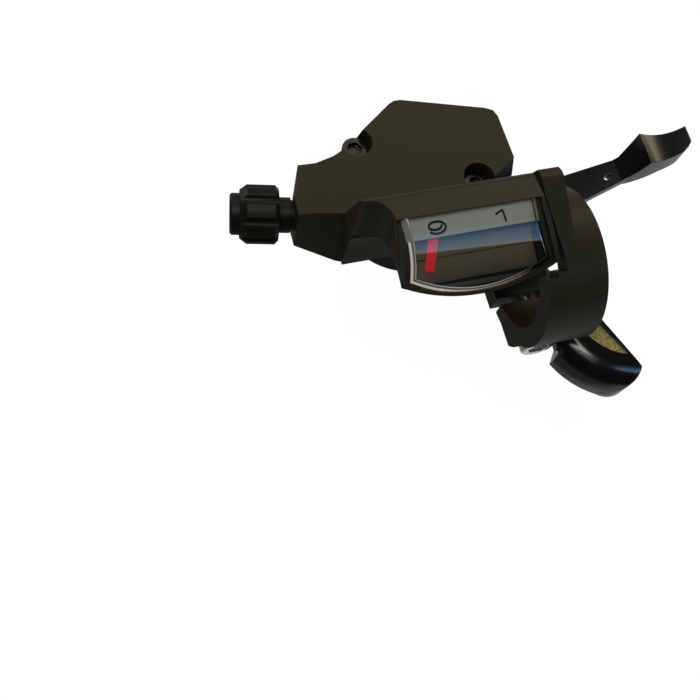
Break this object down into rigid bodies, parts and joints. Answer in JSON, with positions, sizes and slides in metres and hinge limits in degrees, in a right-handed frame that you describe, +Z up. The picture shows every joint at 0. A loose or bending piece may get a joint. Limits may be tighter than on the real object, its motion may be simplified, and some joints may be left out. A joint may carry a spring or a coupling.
{
  "type": "bicycle gear shifter",
  "caption": "Right-hand trigger gear shifter for a handlebar: cover plate, gear window with a needle, clamp band, thumb lever, release lever and barrel adjuster.",
  "frame": {"origin": "on the handlebar's axis, in the middle of the clamp band's bore", "axes": "+X outboard along the handlebar, +Y forward away from the rider, +Z up, square to the flat cover plate"},
  "size_m": [0.0981, 0.0651, 0.0412],
  "materials": {
    "shell": "satin dark olive-black moulding",
    "cover": "satin black moulding",
    "steel": "pressed steel",
    "bright_steel": "bright plated steel",
    "lens": "clear polished moulding",
    "silver": "silver-grey printed strip",
    "dial": "dark brown plate",
    "lever": "glossy black coated",
    "spool": "grey engineering plastic",
    "bush": "plain bearing bush",
    "red": "red moulding",
    "barrel": "semi-gloss black moulding"
  },
  "bodies": {
    "frame": {"housing": "shell", "base_plate": "steel", "lower_cover": "cover", "cover_screws": "bright_steel", "lower_cover_screws": "bright_steel", "clamp_screw": "bright_steel", "clamp_band": "shell", "clamp_bolt": "bright_steel", "display_lens": "lens", "number_strip": "silver", "dial_plate": "dial", "pivot_axle": "steel", "axle_washer": "bright_steel", "axle_nut": "bright_steel", "hold_pawl_pin": "steel", "spool_spring": "steel", "release_lever_spring": "steel", "main_lever_spring": "steel"},
    "thumb_lever": {"main_lever": "lever", "drive_sleeve": "steel", "drive_pawl_pin": "steel"},
    "drive_pawl": {"drive_pawl": "steel"},
    "release_lever": {"release_lever": "lever"},
    "hold_pawl": {"hold_pawl": "steel"},
    "spool": {"cable_spool": "spool", "ratchet_wheel": "steel", "spool_bush": "bush"},
    "indicator": {"indicator_needle": "red"},
    "adjuster": {"barrel_adjuster": "barrel"}
  },
  "joints": [
    {"name": "thumb_press", "type": "hinge", "parent": "frame", "child": "thumb_lever", "pos_m": [-0.019, 0.025, 0], "axis": [0, 0, 1], "range_deg": [0, 40], "stiffness_Nm_per_rad": 0.4},
    {"name": "drive_pawl_lift", "type": "hinge", "parent": "thumb_lever", "child": "drive_pawl", "pos_m": [-0.0268, 0.02216, -0.0055], "axis": [0, 0, 1], "range_deg": [-10, 0], "stiffness_Nm_per_rad": 0.002, "springref_deg": 2.86},
    {"name": "release_pull", "type": "hinge", "parent": "frame", "child": "release_lever", "pos_m": [-0.019, 0.025, 0], "axis": [0, 0, 1], "range_deg": [-8, 0], "stiffness_Nm_per_rad": 1, "springref_deg": 2.86},
    {"name": "hold_pawl_lift", "type": "hinge", "parent": "frame", "child": "hold_pawl", "pos_m": [-0.0112, 0.02784, -0.0055], "axis": [0, 0, 1], "range_deg": [-9, 0.5]},
    {"name": "spool_turn", "type": "hinge", "parent": "frame", "child": "spool", "pos_m": [-0.019, 0.025, 0], "axis": [0, 0, 1], "range_deg": [0, 131], "stiffness_Nm_per_rad": 0.05, "springref_deg": -11.46},
    {"name": "indicator_swing", "type": "hinge", "parent": "frame", "child": "indicator", "pos_m": [-0.019, 0.025, 0], "axis": [0, 0, 1], "range_deg": [-0.5, 33.5]},
    {"name": "adjuster_turn", "type": "hinge", "parent": "frame", "child": "adjuster", "pos_m": [-0.046, 0.0213, -0.0021], "axis": [-0.9789, 0.2045, 0], "continuous": true}
  ],
  "couplings": [
    {"joint": "hold_pawl_lift", "follows": "release_pull", "ratio": 1},
    {"joint": "indicator_swing", "follows": "spool_turn", "ratio": 0.25191}
  ]
}
